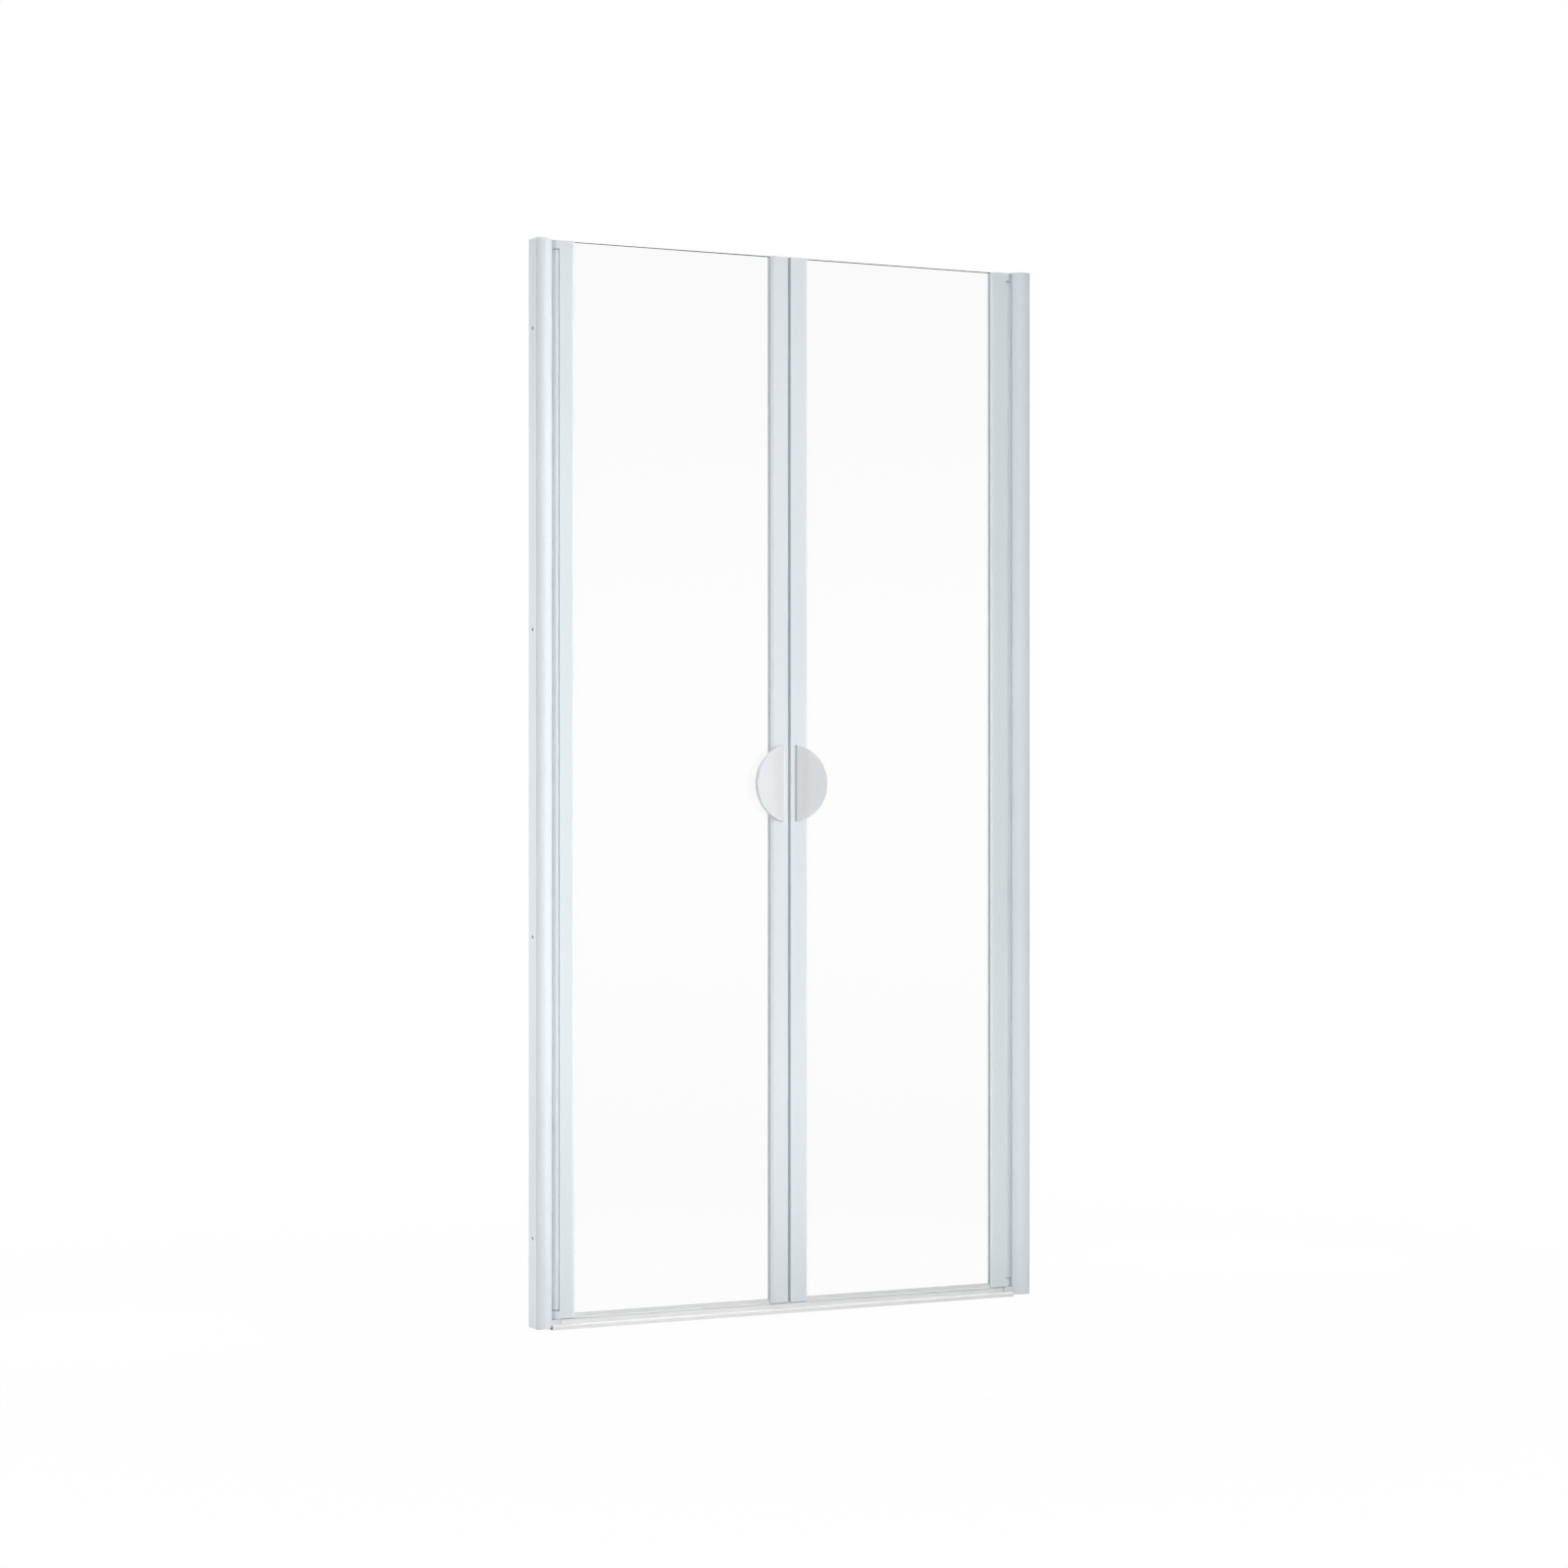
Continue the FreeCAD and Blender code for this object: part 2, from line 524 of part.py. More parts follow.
def arm_screws():
    """Screws through the hinge profile's back into the arms' tongues."""
    screws = []
    for z in ARM_SCREW_HEIGHTS:
        shank = cross_rod(SCREW_RADIUS, ARM_SCREW_X, z, SCREW_RADIUS, LEAF_HALF)
        head = cross_rod(HEAD_RADIUS, ARM_SCREW_X, z, LEAF_HALF, LEAF_HALF + HEAD_HEIGHT)
        screws.append(shank.fuse(head).removeSplitter())
    return Part.makeCompound(screws)


def closing_outline():
    """Corners of the closing profile's outside."""
    front = (CLOSING_FACE, -LEAF_HALF, LEAF_SKIN)
    back = (CLOSING_FACE, LEAF_HALF, LEAF_SKIN)
    return [front, back] + glass_side(CLOSING_EDGE, -1)


def closing_profile():
    """Leaf profile on the closing side, with the seal's slot and the pocket for the pane's inner edge."""
    low = LEAF_BOTTOM + PLATE
    high = LEAF_TOP - PLATE
    face = CLOSING_FACE
    shape = upright(closing_outline(), low, high)
    cuts = [block(face, face + SEAL_MOUTH, CLOSING_SEAL_DEPTH / 2 + FIT_GAP, low, high)]
    cuts.append(block(face + SEAL_MOUTH, CLOSING_SLOT_END, CLOSING_SEAL_FOOT / 2 + FIT_GAP, low, high))
    cuts.append(block(CLOSING_CHAMBER_NEAR, CLOSING_CHAMBER_FAR, CHAMBER_HALF, low, high))
    cuts.append(block(GLASS_NEAR - GASKET_WALL, CLOSING_EDGE, POCKET_HALF, low, high))
    cuts += edge_chambers(GLASS_NEAR - GASKET_WALL, CLOSING_EDGE - EDGE_TAPER + LEAF_SKIN)
    for z in HANDLE_SCREW_HEIGHTS:
        cuts.append(cross_rod(HANDLE_SCREW_RADIUS + SCREW_CLEAR, HANDLE_SCREW_X, z, -LEAF_HALF, LEAF_HALF))
    return shape.cut(cuts)


def closing_cap(low, high, spigot_low, spigot_high):
    """End cap of the closing profile with its tongue."""
    plate = upright(closing_outline(), low, high)
    plate = plate.cut(glass_slot(GLASS_NEAR - GASKET_WALL - FIT_GAP, CLOSING_EDGE))
    x0 = CLOSING_CHAMBER_NEAR + FIT_GAP
    x1 = CLOSING_CHAMBER_FAR - FIT_GAP
    spigot = block(x0, x1, CHAMBER_HALF - FIT_GAP, spigot_low, spigot_high)
    return plate.fuse(spigot).removeSplitter()


def closing_caps():
    """Bottom and top end caps of the closing profile."""
    over_plate = LEAF_BOTTOM + PLATE
    under_plate = LEAF_TOP - PLATE
    low = closing_cap(LEAF_BOTTOM, over_plate, over_plate, over_plate + SPIGOT)
    high = closing_cap(under_plate, LEAF_TOP, under_plate - SPIGOT, under_plate)
    return Part.makeCompound([low, high])


def closing_seal():
    """Soft seal in the closing slot, hollow for its magnet."""
    low = LEAF_BOTTOM + PLATE
    high = LEAF_TOP - PLATE
    shoulder = CLOSING_FACE + SEAL_MOUTH + FIT_GAP
    nose = block(SEAL_GAP, shoulder, CLOSING_SEAL_DEPTH / 2, low, high)
    foot = block(shoulder, SEAL_GAP + CLOSING_SEAL_REACH, CLOSING_SEAL_FOOT / 2, low, high)
    start = SEAL_GAP + MAGNET_COVER
    room = block(start, start + MAGNET_WIDTH, MAGNET_DEPTH / 2, low, high)
    return nose.fuse(foot).removeSplitter().cut(room)


def magnet_strip():
    """Magnet that pulls the two closing seals together."""
    start = SEAL_GAP + MAGNET_COVER + SEAT_GAP
    end = SEAL_GAP + MAGNET_COVER + MAGNET_WIDTH - SEAT_GAP
    return block(start, end, MAGNET_DEPTH / 2 - SEAT_GAP, LEAF_BOTTOM + PLATE, LEAF_TOP - PLATE)


def glass():
    """Toughened pane with its top and bottom arrises taken off."""
    pane = block(GLASS_NEAR, GLASS_FAR, GLASS_HALF, LEAF_BOTTOM, LEAF_TOP)
    length = GLASS_FAR - GLASS_NEAR
    arrises = []
    for edge in pane.Edges:
        along = edge.BoundBox
        if abs(along.XLength - length) < 1e-6:
            arrises.append(edge)
    return pane.makeChamfer(GLASS_ARRIS, arrises)


def gasket(x0, x1, slot0, slot1):
    """Glazing gasket: a U round one upright edge of the pane."""
    body = block(x0, x1, POCKET_HALF, LEAF_BOTTOM, LEAF_TOP)
    return body.cut(block(slot0, slot1, GLASS_HALF + SEAT_GAP, LEAF_BOTTOM, LEAF_TOP))


def hinge_gasket():
    """Gasket in the hinge profile."""
    start = HINGE_EDGE + GASKET_RECESS
    return gasket(start, GLASS_FAR + GASKET_WALL, start, GLASS_FAR + SEAT_GAP)


def closing_gasket():
    """Gasket in the closing profile."""
    end = CLOSING_EDGE - GASKET_RECESS
    return gasket(GLASS_NEAR - GASKET_WALL, end, GLASS_NEAR - SEAT_GAP, end)


def drip_seal():
    """Clear seal clipped on the pane's lower edge, with a fin on each side above the sill's ridge."""
    outer = GLASS_HALF + DRIP_CLIP_WALL
    top = LEAF_BOTTOM + DRIP_CLIP_HEIGHT
    base = LEAF_BOTTOM - DRIP_CLIP_WALL
    tip = SILL_TOP + DRIP_CLEAR
    reach = outer + DRIP_FIN_REACH
    start = CLOSING_EDGE + FIT_GAP
    end = HINGE_EDGE - FIT_GAP
    clip = [(-outer, base, 0), (-outer, top, 0), (outer, top, 0), (outer, base, 0)]
    floor = LEAF_BOTTOM - SEAT_GAP
    half = GLASS_HALF + SEAT_GAP
    slot = [(-half, floor, 0), (-half, top, 0), (half, top, 0), (half, floor, 0)]
    shape = lengthwise(clip, start, end).cut(lengthwise(slot, start, end))
    for side in (-1, 1):
        root = LEAF_BOTTOM + DRIP_FIN_THICKNESS
        fin = [(side * GLASS_HALF, base, 0), (side * outer, root, 0)]
        fin += [(side * reach, tip + DRIP_FIN_THICKNESS, 0), (side * reach, tip, 0)]
        shape = shape.fuse(lengthwise(fin, start, end))
    return shape.removeSplitter().cut(lengthwise(slot, start, end))


def handle_disc(radius):
    """Round blank about the middle of the door, in front of the leaf."""
    return Part.makeCylinder(radius, 2 * HANDLE_RISE, V(0, -LEAF_HALF, FRAME_MIDDLE), V(0, -1, 0))


def handle():
    """Half-moon grip: a ramp on the closing profile that rises to a rimmed shell standing off the glass."""
    face = -LEAF_HALF
    rim_back = face - HANDLE_RISE + HANDLE_RIM
    base_end = CLOSING_EDGE - EDGE_TAPER
    low = FRAME_MIDDLE - HANDLE_RADIUS
    high = FRAME_MIDDLE + HANDLE_RADIUS
    corners = [(HANDLE_STRAIGHT, face, 0), (HANDLE_STRAIGHT, face - HANDLE_ROOT, 0)]
    corners += [(HANDLE_CREASE, face - HANDLE_CREASE_RISE, HANDLE_BEND)]
    corners += [(HANDLE_RADIUS, face - HANDLE_RISE, 0)]
    corners += [(HANDLE_RADIUS, rim_back, 0), (base_end, rim_back, 0), (base_end, face, 0)]
    shape = upright(corners, low, high).common(handle_disc(HANDLE_RADIUS))
    room_start = base_end + HANDLE_SKIN
    share = (room_start - HANDLE_CREASE) / (HANDLE_RADIUS - HANDLE_CREASE)
    room_rise = HANDLE_CREASE_RISE + share * (HANDLE_RISE - HANDLE_CREASE_RISE)
    room = [(room_start, rim_back, 0), (room_start, face - room_rise + HANDLE_SKIN, 0)]
    room += [(HANDLE_RADIUS, face - HANDLE_RISE + HANDLE_SKIN, 0), (HANDLE_RADIUS, rim_back, 0)]
    shape = shape.cut(upright(room, low, high).common(handle_disc(HANDLE_RADIUS - HANDLE_SKIN)))
    outer_edges = []
    for edge in shape.Edges:
        middle = edge.valueAt((edge.FirstParameter + edge.LastParameter) / 2)
        from_centre = math.hypot(middle.x, middle.z - FRAME_MIDDLE)
        in_front = middle.y < rim_back - HANDLE_ROUND
        if abs(from_centre - HANDLE_RADIUS) < 0.01 and in_front and edge.Length > HANDLE_RIM:
            outer_edges.append(edge)
    shape = shape.makeFillet(HANDLE_ROUND, outer_edges)
    for z in HANDLE_SCREW_HEIGHTS:
        hole = cross_rod(HANDLE_SCREW_RADIUS + SEAT_GAP, HANDLE_SCREW_X, z, face - HANDLE_SCREW_BITE, face)
        shape = shape.cut(hole)
    return shape


def handle_screws():
    """Screws from inside the shower, through the closing profile into the handle."""
    screws = []
    for z in HANDLE_SCREW_HEIGHTS:
        tip = FIT_GAP - LEAF_HALF - HANDLE_SCREW_BITE
        shank = cross_rod(HANDLE_SCREW_RADIUS, HANDLE_SCREW_X, z, tip, LEAF_HALF)
        head = cross_rod(HEAD_RADIUS, HANDLE_SCREW_X, z, LEAF_HALF, LEAF_HALF + HEAD_HEIGHT)
        screws.append(shank.fuse(head).removeSplitter())
    return Part.makeCompound(screws)


SIDE_PIECES = [
    wall_channel,
    frame_profile,
    frame_cap,
    clamp_screws,
    barrel_plugs,
    bottom_pivot_pin,
    top_pivot_pin,
    hinge_foot,
    foot_screws,
    thrust_washer,
    hinge_profile,
    hinge_seal,
    top_hinge_arm,
    bottom_hinge_arm,
    arm_bushes,
    arm_screws,
    closing_profile,
    closing_caps,
    closing_seal,
    magnet_strip,
    glass,
    hinge_gasket,
    closing_gasket,
    drip_seal,
    handle,
    handle_screws,
]

sill().exportStep("parts/sill.step")
for piece in SIDE_PIECES:
    right = piece()
    right.exportStep("parts/right_" + piece.__name__ + ".step")
    left = right.mirror(V(0, 0, 0), V(1, 0, 0))
    left.exportStep("parts/left_" + piece.__name__ + ".step")
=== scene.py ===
"""Looks of the two-leaf pendulum shower door: materials, screw heads, plain studio light and camera."""
import json
import math

import bmesh
import bpy
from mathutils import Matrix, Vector


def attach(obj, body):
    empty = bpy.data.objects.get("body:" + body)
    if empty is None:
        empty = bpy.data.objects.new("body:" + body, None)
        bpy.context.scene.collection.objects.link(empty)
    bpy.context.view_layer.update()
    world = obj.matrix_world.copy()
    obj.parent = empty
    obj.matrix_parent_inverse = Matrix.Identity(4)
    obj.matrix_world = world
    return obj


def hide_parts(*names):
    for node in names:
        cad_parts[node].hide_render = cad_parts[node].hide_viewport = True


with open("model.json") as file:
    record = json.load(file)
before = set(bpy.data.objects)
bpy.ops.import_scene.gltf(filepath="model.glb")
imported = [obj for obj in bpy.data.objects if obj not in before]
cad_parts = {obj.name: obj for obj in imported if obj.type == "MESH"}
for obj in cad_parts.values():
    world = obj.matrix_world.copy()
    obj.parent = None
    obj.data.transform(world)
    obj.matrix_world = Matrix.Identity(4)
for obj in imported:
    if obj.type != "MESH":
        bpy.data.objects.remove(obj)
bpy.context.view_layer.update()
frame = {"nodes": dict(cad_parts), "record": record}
nodes = frame["nodes"]
scene = bpy.context.scene
scene.view_settings.view_transform = "Standard"
SIDES = ("left", "right")


# Shader helpers

# The noise texture's values lie round the middle, so only this part of its range is used
NOISE_LOW = 0.3
NOISE_HIGH = 0.7


def new_material(name):
    """Material with its node tree and main shader."""
    material = bpy.data.materials.new(name)
    material.use_nodes = True
    tree = material.node_tree
    return material, tree, tree.nodes["Principled BSDF"]


def noise(tree, scale, detail=2.0, stretch=(1.0, 1.0, 1.0)):
    """Noise in object space, where one unit is a metre."""
    place = tree.nodes.new("ShaderNodeTexCoord")
    mapping = tree.nodes.new("ShaderNodeMapping")
    mapping.inputs["Scale"].default_value = stretch
    texture = tree.nodes.new("ShaderNodeTexNoise")
    texture.inputs["Scale"].default_value = scale
    texture.inputs["Detail"].default_value = detail
    tree.links.new(place.outputs["Object"], mapping.inputs["Vector"])
    tree.links.new(mapping.outputs["Vector"], texture.inputs["Vector"])
    return texture.outputs["Fac"]


def map_range(tree, value, source, result):
    """Node that moves a value from one range of numbers to another."""
    node = tree.nodes.new("ShaderNodeMapRange")
    node.inputs["From Min"].default_value = source[0]
    node.inputs["From Max"].default_value = source[1]
    node.inputs["To Min"].default_value = result[0]
    node.inputs["To Max"].default_value = result[1]
    tree.links.new(value, node.inputs["Value"])
    return node


def spread(tree, value, low, high):
    """The noise moved to a range of numbers."""
    return map_range(tree, value, (NOISE_LOW, NOISE_HIGH), (low, high)).outputs["Result"]


def tint(tree, value, dark, light):
    """Colour between two close shades."""
    ramp = tree.nodes.new("ShaderNodeValToRGB")
    ramp.color_ramp.elements[0].position = NOISE_LOW
    ramp.color_ramp.elements[1].position = NOISE_HIGH
    ramp.color_ramp.elements[0].color = (*dark, 1.0)
    ramp.color_ramp.elements[1].color = (*light, 1.0)
    tree.links.new(value, ramp.inputs["Fac"])
    return ramp.outputs["Color"]


def grain(tree, shader, value, strength, depth):
    """Fine relief of a surface."""
    bump = tree.nodes.new("ShaderNodeBump")
    bump.inputs["Strength"].default_value = strength
    bump.inputs["Distance"].default_value = depth
    tree.links.new(value, bump.inputs["Height"])
    tree.links.new(bump.outputs["Normal"], shader.inputs["Normal"])


def calculated(tree, operation, first, second=None):
    """Result of a calculation with one or two values, of which the second may be a plain number."""
    node = tree.nodes.new("ShaderNodeMath")
    node.operation = operation
    tree.links.new(first, node.inputs[0])
    if isinstance(second, float):
        node.inputs[1].default_value = second
    elif second is not None:
        tree.links.new(second, node.inputs[1])
    return node.outputs["Value"]


def mixed(tree, share, first, second):
    """Mix of two shaders, given the share of the second one."""
    node = tree.nodes.new("ShaderNodeMixShader")
    tree.links.new(share, node.inputs["Fac"])
    tree.links.new(first, node.inputs[1])
    tree.links.new(second, node.inputs[2])
    return node.outputs["Shader"]


def height_part(tree, output):
    """Upright part of a direction from the texture coordinates."""
    place = tree.nodes.new("ShaderNodeTexCoord")
    parts = tree.nodes.new("ShaderNodeSeparateXYZ")
    tree.links.new(place.outputs[output], parts.inputs["Vector"])
    return parts.outputs["Z"]


# Materials

def white_coat():
    """Satin powder coat with its fine orange peel and a faint change of shade along the bars."""
    material, tree, shader = new_material("white_coat")
    shade = tint(tree, noise(tree, 2.2), (0.735, 0.785, 0.815), (0.765, 0.81, 0.838))
    tree.links.new(shade, shader.inputs["Base Color"])
    peel = noise(tree, 700.0, 3.0)
    tree.links.new(spread(tree, peel, 0.34, 0.44), shader.inputs["Roughness"])
    grain(tree, shader, peel, 0.12, 0.00004)
    return material


def white_sill():
    """The sill's coat, smoother than the bars, with faint marks of use along it. It is a little whiter
    than the bars' coat as painted light: the whiter colour stands in for the brighter light that falls on
    the sill.
    """
    material, tree, shader = new_material("white_sill")
    wear = noise(tree, 60.0, 3.0, (0.05, 1.0, 1.0))
    # The streaks are faint marks of use; the base colours, whiter than the bars' coat, are painted light
    # standing in for the brighter light on the sill.
    tree.links.new(tint(tree, wear, (0.87, 0.87, 0.865), (0.9, 0.9, 0.895)), shader.inputs["Base Color"])
    peel = noise(tree, 700.0, 3.0)
    tree.links.new(spread(tree, peel, 0.28, 0.38), shader.inputs["Roughness"])
    grain(tree, shader, peel, 0.1, 0.00004)
    return material


def white_plastic(name, colour, low, high):
    """Injection-moulded white plastic with a soft gloss, between two values of roughness."""
    material, tree, shader = new_material(name)
    darker = [0.97 * part for part in colour]
    tree.links.new(tint(tree, noise(tree, 14.0), darker, colour), shader.inputs["Base Color"])
    skin = noise(tree, 1400.0, 2.0)
    tree.links.new(spread(tree, skin, low, high), shader.inputs["Roughness"])
    grain(tree, shader, skin, 0.06, 0.00002)
    return material


def steel():
    """Stainless steel of screws and pins, with fine turning marks."""
    material, tree, shader = new_material("steel")
    shader.inputs["Metallic"].default_value = 1.0
    marks = noise(tree, 900.0, 3.0, (1.0, 0.15, 1.0))
    tree.links.new(tint(tree, marks, (0.5, 0.51, 0.52), (0.66, 0.665, 0.67)), shader.inputs["Base Color"])
    tree.links.new(spread(tree, marks, 0.24, 0.4), shader.inputs["Roughness"])
    return material


def bearing_plastic():
    """Matt grey bearing plastic."""
    material, tree, shader = new_material("bearing_plastic")
    shade = tint(tree, noise(tree, 60.0), (0.52, 0.535, 0.55), (0.58, 0.595, 0.61))
    tree.links.new(shade, shader.inputs["Base Color"])
    skin = noise(tree, 1800.0)
    tree.links.new(spread(tree, skin, 0.5, 0.65), shader.inputs["Roughness"])
    grain(tree, shader, skin, 0.1, 0.00003)
    return material


def soft_seal():
    """Milky grey sealing rubber."""
    material, tree, shader = new_material("soft_seal")
    shade = tint(tree, noise(tree, 30.0), (0.57, 0.6, 0.62), (0.63, 0.66, 0.68))
    tree.links.new(shade, shader.inputs["Base Color"])
    skin = noise(tree, 1500.0)
    tree.links.new(spread(tree, skin, 0.45, 0.6), shader.inputs["Roughness"])
    grain(tree, shader, skin, 0.15, 0.00003)
    return material


def pale_seal():
    """Pale glazing rubber."""
    material, tree, shader = new_material("pale_seal")
    shade = tint(tree, noise(tree, 30.0), (0.84, 0.845, 0.84), (0.88, 0.885, 0.88))
    tree.links.new(shade, shader.inputs["Base Color"])
    skin = noise(tree, 1500.0)
    tree.links.new(spread(tree, skin, 0.4, 0.55), shader.inputs["Roughness"])
    grain(tree, shader, skin, 0.1, 0.00003)
    return material


def clear_seal():
    """Milky flexible strip, slightly streaked along its extruded length."""
    material, tree, shader = new_material("clear_seal")
    shader.inputs["Transmission Weight"].default_value = 0.2
    shader.inputs["IOR"].default_value = 1.45
    streak = noise(tree, 400.0, 2.0, (0.02, 1.0, 1.0))
    shade = tint(tree, streak, (0.89, 0.895, 0.89), (0.94, 0.945, 0.94))
    tree.links.new(shade, shader.inputs["Base Color"])
    tree.links.new(spread(tree, streak, 0.12, 0.22), shader.inputs["Roughness"])
    return material


def magnet():
    """Dark plastic-bound magnet."""
    material, tree, shader = new_material("magnet")
    shade = tint(tree, noise(tree, 200.0), (0.03, 0.03, 0.032), (0.05, 0.05, 0.053))
    tree.links.new(shade, shader.inputs["Base Color"])
    skin = noise(tree, 1500.0)
    tree.links.new(spread(tree, skin, 0.5, 0.65), shader.inputs["Roughness"])
    return material


def clear_glass():
    """Clear toughened glass that lets the lamps' light through. Its upward-facing faces get a near-black
    green-grey as painted shade, so that the seamed upper edge looks dark.
    """
    material, tree, shader = new_material("clear_glass")
    shader.inputs["Base Color"].default_value = (0.975, 0.982, 0.978, 1.0)
    shader.inputs["Transmission Weight"].default_value = 1.0
    shader.inputs["IOR"].default_value = 1.5
    haze = noise(tree, 5.0)
    tree.links.new(spread(tree, haze, 0.0, 0.004), shader.inputs["Roughness"])
    # Painted shade: near-black green-grey shader for the upward-facing faces, so that the glass's upper
    # edge looks dark.
    edge = tree.nodes.new("ShaderNodeBsdfPrincipled")
    ground = noise(tree, 900.0, 3.0)
    shade = tint(tree, ground, (0.02, 0.036, 0.032), (0.05, 0.075, 0.068))
    tree.links.new(shade, edge.inputs["Base Color"])
    tree.links.new(spread(tree, ground, 0.35, 0.55), edge.inputs["Roughness"])
    # Mask of the upward-facing faces that get the painted dark edge.
    painted_edge_faces = calculated(tree, "GREATER_THAN", height_part(tree, "Normal"), 0.5)
    pane = mixed(tree, painted_edge_faces, shader.outputs["BSDF"], edge.outputs["BSDF"])
    path = tree.nodes.new("ShaderNodeLightPath")
    passing = tree.nodes.new("ShaderNodeBsdfTransparent")
    passing.inputs["Color"].default_value = (0.92, 0.92, 0.92, 1.0)
    lit = mixed(tree, path.outputs["Is Shadow Ray"], pane, passing.outputs["BSDF"])
    tree.links.new(lit, tree.nodes["Material Output"].inputs["Surface"])
    return material


MATERIALS = {
    "white_coat": white_coat(),
    "white_sill": white_sill(),
    "white_plastic": white_plastic("white_plastic", (0.765, 0.805, 0.83), 0.3, 0.4),
    "white_handle": white_plastic("white_handle", (0.715, 0.735, 0.745), 0.26, 0.34),
    "steel": steel(),
    "bearing_plastic": bearing_plastic(),
    "soft_seal": soft_seal(),
    "pale_seal": pale_seal(),
    "clear_seal": clear_seal(),
    "magnet": magnet(),
    "clear_glass": clear_glass(),
}
for part in frame["record"]["subparts"]:
    mesh = nodes[part["node"]].data
    mesh.materials.clear()
    mesh.materials.append(MATERIALS[part["material_slot"]])


# Screws with cross recesses

SCREW_HEAD_HEIGHT = 0.0013
SCREW_SIDES = 28
# Radii as shares of the head's radius, and heights as shares of the head's height
SHANK_RADIUS = 0.5
BEND_RADIUS = 0.94
TOP_RADIUS = 0.8
SIDE_HEIGHT = 0.55
BEND_HEIGHT = 0.85
# Length and half width of the recess's arms as shares of the head's radius, at its brim and at its base
RECESS_BRIM = (0.56, 0.13)
RECESS_BASE = (0.36, 0.1)
RECESS_DEPTH = 0.7


def separate_screws(node):
    """Lowest and highest corner of each screw of a node, told apart by their heights."""
    points = sorted((vertex.co.copy() for vertex in nodes[node].data.vertices), key=lambda point: point.z)
    groups = [[points[0]]]
    for before, point in zip(points, points[1:]):
        if point.z - before.z > 2 * SCREW_HEAD_HEIGHT:
            groups.append([])
        groups[-1].append(point)
    corners = []
    for group in groups:
        low = Vector([min(point[i] for point in group) for i in range(3)])
        high = Vector([max(point[i] for point in group) for i in range(3)])
        corners.append((low, high))
    return corners


def loop_of(shape, outline, middle, y):
    """Closed row of vertices at one depth."""
    return [shape.verts.new((middle.x + x, y, middle.z + z)) for x, z in outline]


def wall_between(shape, first, second):
    """Faces between two rows of vertices of one length."""
    for i in range(len(first)):
        following = (i + 1) % len(first)
        shape.faces.new((first[i], first[following], second[following], second[i]))


def round_outline(radius):
    """Points of a circle."""
    turns = [2 * math.pi * i / SCREW_SIDES for i in range(SCREW_SIDES)]
    return [(radius * math.cos(turn), radius * math.sin(turn)) for turn in turns]


def cross_outline(reach, half):
    """Corners of an upright cross."""
    quarter = [(half, reach), (half, half), (reach, half)]
    outline = []
    for turn in range(4):
        outline += quarter
        quarter = [(z, -x) for x, z in quarter]
    return outline


def recess_row(shape, sizes, radius, middle, y):
    """Row of vertices of the cross recess at one depth."""
    reach, half = sizes
    return loop_of(shape, cross_outline(reach * radius, half * radius), middle, y)


def add_screw(shape, low, high):
    """One pan-head screw along Y, its head towards the inside of the shower."""
    middle = (low + high) / 2
    radius = (high.x - low.x) / 2
    seat = high.y - SCREW_HEAD_HEIGHT
    rounding = [
        (SHANK_RADIUS, low.y),
        (SHANK_RADIUS, seat),
        (1.0, seat),
        (1.0, seat + SIDE_HEIGHT * SCREW_HEAD_HEIGHT),
        (BEND_RADIUS, seat + BEND_HEIGHT * SCREW_HEAD_HEIGHT),
        (TOP_RADIUS, high.y),
    ]
    rows = [loop_of(shape, round_outline(share * radius), middle, y) for share, y in rounding]
    shape.faces.new(rows[0])
    for first, second in zip(rows, rows[1:]):
        wall_between(shape, first, second)
    brim = recess_row(shape, RECESS_BRIM, radius, middle, high.y)
    base = recess_row(shape, RECESS_BASE, radius, middle, high.y - RECESS_DEPTH * SCREW_HEAD_HEIGHT)
    wall_between(shape, brim, base)
    shape.faces.new(base)
    rims = [edge for edge in shape.edges if edge.is_boundary and all(v.co.y == high.y for v in edge.verts)]
    bmesh.ops.triangle_fill(shape, use_beauty=True, edges=rims)


def screws(side, kind, body):
    """The screws of one node with their recesses, in the node's place."""
    node = side + "_" + kind
    shape = bmesh.new()
    for low, high in separate_screws(node):
        add_screw(shape, low, high)
    bmesh.ops.recalc_face_normals(shape, faces=shape.faces)
    mesh = bpy.data.meshes.new(node + "_recessed")
    shape.to_mesh(mesh)
    shape.free()
    mesh.materials.append(MATERIALS["steel"])
    piece = bpy.data.objects.new(node + "_recessed", mesh)
    scene.collection.objects.link(piece)
    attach(piece, body)
    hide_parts(node)


for side in SIDES:
    screws(side, "clamp_screws", "frame")
    screws(side, "arm_screws", side + "_leaf")
    screws(side, "handle_screws", side + "_leaf")


# Floor, world, lamps and camera

FLOOR_RADIUS = 2.6
FLOOR_FADE = (0.7, 2.5)
FLOOR_DROP = 0.0005
FLOOR_GREY = 0.6
# Share of plain white in the floor as the camera sees it; the rest shows the shadow
FLOOR_WHITE = 0.97
AMBIENT_LIGHT = 0.32
# Slopes of mirrored rays between which the surroundings go from white to dim
MIRROR_BAND = (0.035, 0.13)
MIRROR_DIM = 0.3
WHITE = (1.0, 1.0, 1.0, 1.0)


def seen_directly(tree):
    """One for camera, glossy and transmission rays, and zero for light that bounces."""
    path = tree.nodes.new("ShaderNodeLightPath")
    first = calculated(tree, "MAXIMUM", path.outputs["Is Camera Ray"], path.outputs["Is Transmission Ray"])
    return calculated(tree, "MAXIMUM", first, path.outputs["Is Glossy Ray"])


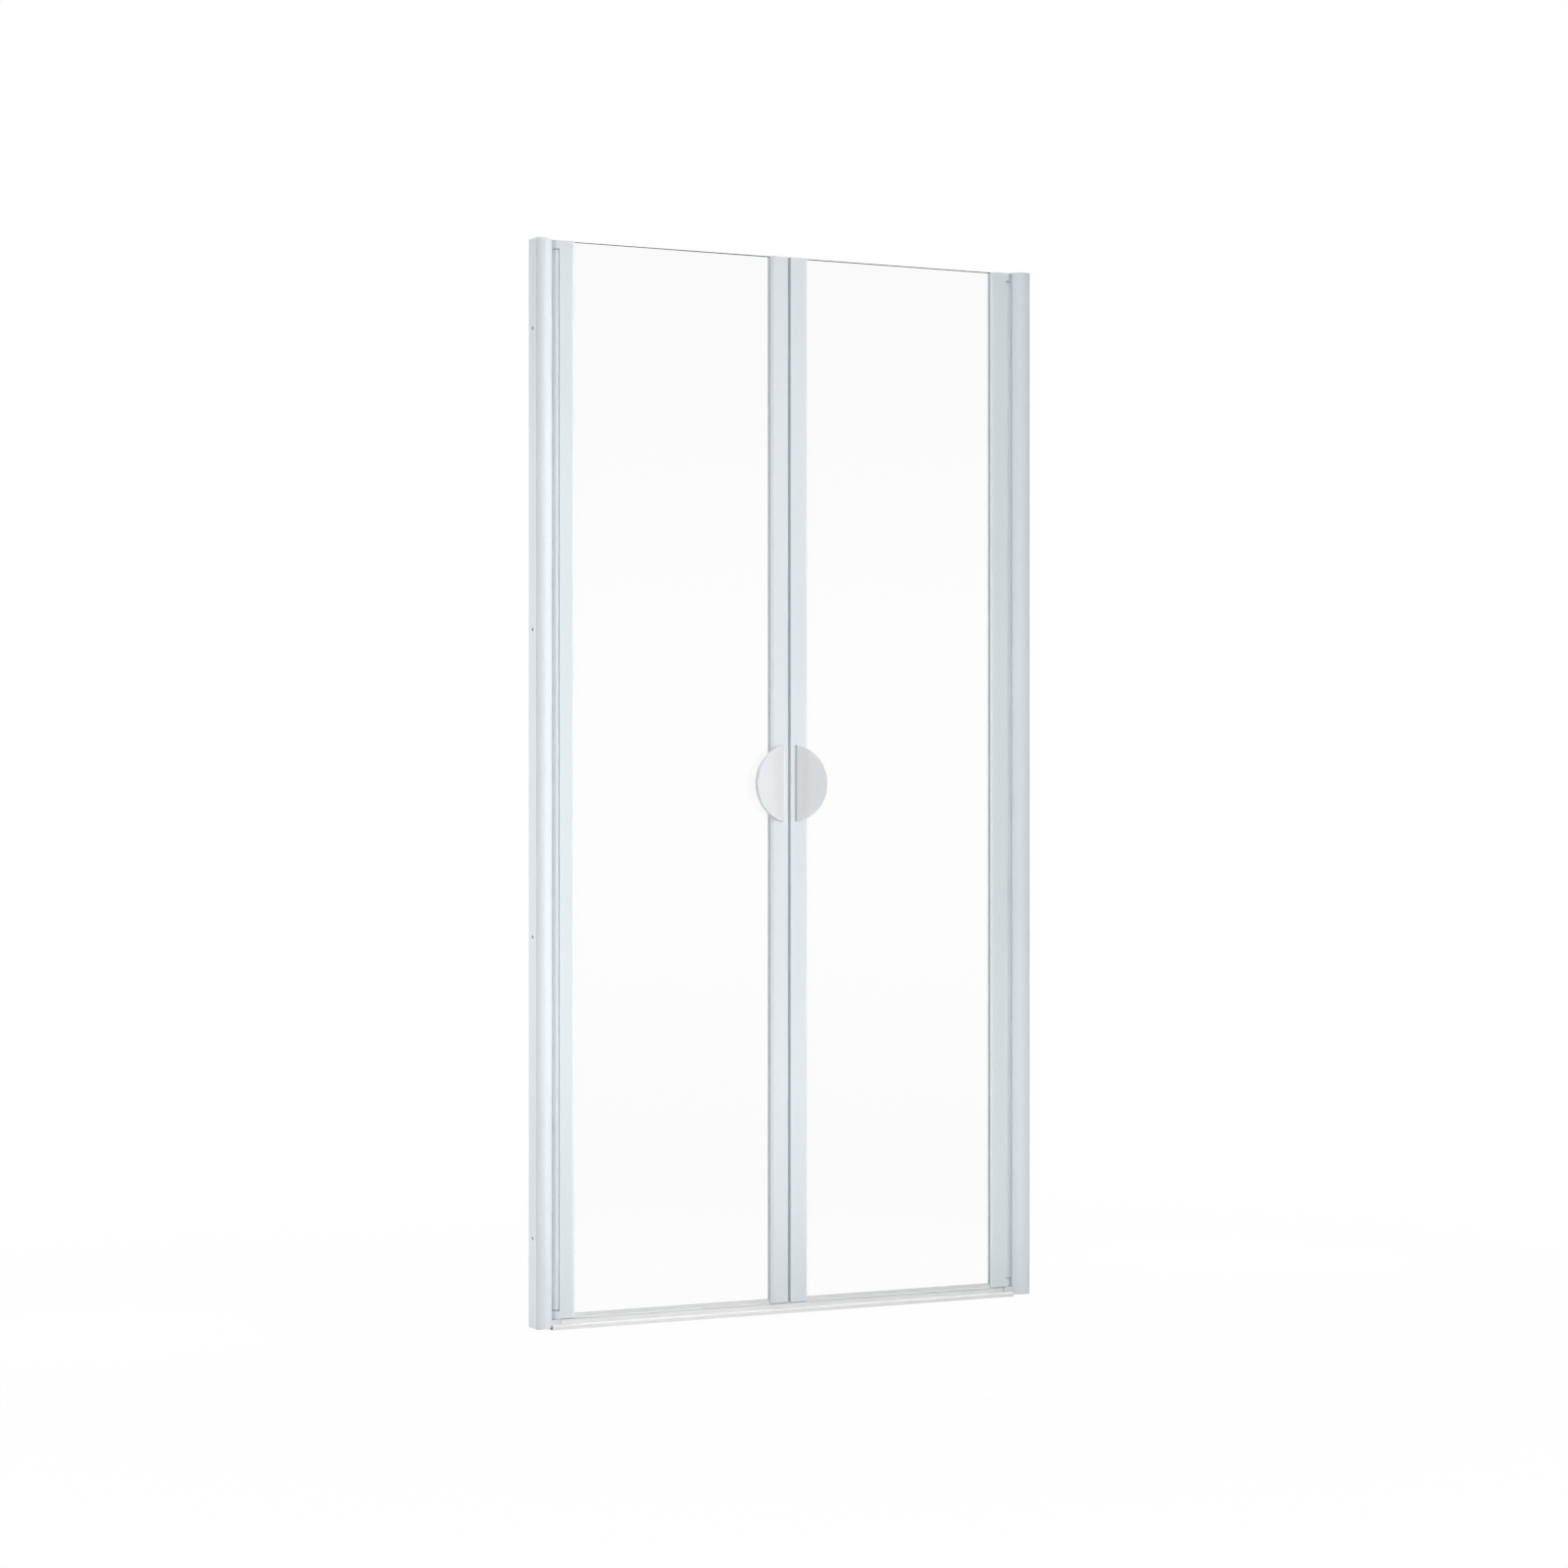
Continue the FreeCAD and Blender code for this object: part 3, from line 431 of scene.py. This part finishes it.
def floor():
    """Round pale floor that fades into the white surroundings and keeps the object's shadow."""
    mesh = bpy.data.meshes.new("floor")
    shape = bmesh.new()
    bmesh.ops.create_circle(shape, cap_ends=True, segments=96, radius=FLOOR_RADIUS)
    shape.to_mesh(mesh)
    shape.free()
    piece = bpy.data.objects.new("floor", mesh)
    piece.location.z = -FLOOR_DROP
    scene.collection.objects.link(piece)
    material = bpy.data.materials.new("floor")
    material.use_nodes = True
    tree = material.node_tree
    tree.nodes.clear()
    out = tree.nodes.new("ShaderNodeOutputMaterial")
    diffuse = tree.nodes.new("ShaderNodeBsdfDiffuse")
    diffuse.inputs["Color"].default_value = (FLOOR_GREY, FLOOR_GREY, FLOOR_GREY, 1.0)
    glow = tree.nodes.new("ShaderNodeEmission")
    glow.inputs["Color"].default_value = WHITE
    share = calculated(tree, "MULTIPLY", seen_directly(tree), FLOOR_WHITE)
    lit = mixed(tree, share, diffuse.outputs["BSDF"], glow.outputs["Emission"])
    place = tree.nodes.new("ShaderNodeTexCoord")
    length = tree.nodes.new("ShaderNodeVectorMath")
    length.operation = "LENGTH"
    tree.links.new(place.outputs["Object"], length.inputs[0])
    fade = map_range(tree, length.outputs["Value"], FLOOR_FADE, (0.0, 1.0))
    fade.interpolation_type = "SMOOTHSTEP"
    clear = tree.nodes.new("ShaderNodeBsdfTransparent")
    faded = mixed(tree, fade.outputs["Result"], lit, clear.outputs["BSDF"])
    tree.links.new(faded, out.inputs["Surface"])
    mesh.materials.append(material)


def surroundings():
    """White studio. Mirror reflections meet a pale band round the horizon, dimmer above and below."""
    world = bpy.data.worlds.new("studio")
    scene.world = world
    world.use_nodes = True
    tree = world.node_tree
    tree.nodes.clear()
    out = tree.nodes.new("ShaderNodeOutputWorld")
    ambient = tree.nodes.new("ShaderNodeBackground")
    ambient.inputs["Color"].default_value = (0.96, 0.985, 1.0, 1.0)
    ambient.inputs["Strength"].default_value = AMBIENT_LIGHT
    white = tree.nodes.new("ShaderNodeBackground")
    white.inputs["Color"].default_value = WHITE
    slope = calculated(tree, "ABSOLUTE", height_part(tree, "Generated"))
    band = map_range(tree, slope, MIRROR_BAND, (1.0, MIRROR_DIM))
    path = tree.nodes.new("ShaderNodeLightPath")
    mirrored = calculated(
        tree, "GREATER_THAN", path.outputs["Is Glossy Ray"], path.outputs["Is Transmission Ray"])
    level = tree.nodes.new("ShaderNodeMix")
    level.inputs["A"].default_value = 1.0
    tree.links.new(mirrored, level.inputs["Factor"])
    tree.links.new(band.outputs["Result"], level.inputs["B"])
    tree.links.new(level.outputs["Result"], white.inputs["Strength"])
    studio = mixed(tree, seen_directly(tree), ambient.outputs["Background"], white.outputs["Background"])
    tree.links.new(studio, out.inputs["Surface"])


def lamp(name, place, target, width, height, watts, beam=180.0):
    """Soft rectangular lamp that the camera doesn't see, with its beam's angle in degrees."""
    data = bpy.data.lights.new(name, "AREA")
    data.shape = "RECTANGLE"
    data.size = width
    data.size_y = height
    data.energy = watts
    data.spread = math.radians(beam)
    piece = bpy.data.objects.new(name, data)
    piece.location = place
    piece.rotation_euler = (Vector(target) - Vector(place)).to_track_quat("-Z", "Y").to_euler()
    piece.visible_camera = False
    piece.visible_transmission = False
    piece.visible_glossy = False
    scene.collection.objects.link(piece)


def camera(place, turn, lens):
    """Level camera, turned by some degrees from looking straight at the door."""
    data = bpy.data.cameras.new("camera")
    data.sensor_width = 36.0
    data.lens = lens
    data.clip_end = 100.0
    piece = bpy.data.objects.new("camera", data)
    piece.location = place
    piece.rotation_euler = (math.pi / 2, 0.0, -math.radians(turn))
    scene.collection.objects.link(piece)
    scene.camera = piece


floor()
surroundings()
lamp("front", place=(-0.2, -0.95, 1.12), target=(-0.2, 0.0, 1.12), width=0.6, height=2.2, watts=4.0)
lamp("from_right", place=(0.75, -1.0, 1.0), target=(-0.38, 0.0, 1.0),
     width=0.3, height=2.6, watts=3.4, beam=53.0)
lamp("front_right", place=(0.2, -1.0, 1.0), target=(0.44, 0.0, 1.0),
     width=0.3, height=2.6, watts=1.25, beam=45.0)
lamp("overhead", place=(0.3, -0.45, 9.0), target=(0.3, 0.0, 0.0), width=2.0, height=0.8, watts=350.0)
lamp("left_rim", place=(-1.4, 0.35, 1.0), target=(-0.5, 0.0, 1.0), width=0.4, height=2.6, watts=12.0)
lamp("front_left", place=(-0.8, -1.0, 1.0), target=(-0.47, 0.0, 1.0),
     width=0.3, height=2.6, watts=0.4, beam=45.0)
lamp("right_rim", place=(1.4, 0.35, 1.0), target=(0.5, 0.0, 1.0), width=0.4, height=2.6, watts=14.0)
lamp("back", place=(0.0, 2.4, 1.1), target=(0.0, 0.0, 0.96), width=1.6, height=1.8, watts=22.0)
# The photograph's place: eye level at half the door's height, from the left
camera(place=(-2.905, -5.815, 0.9608), turn=26.4956, lens=82.0)
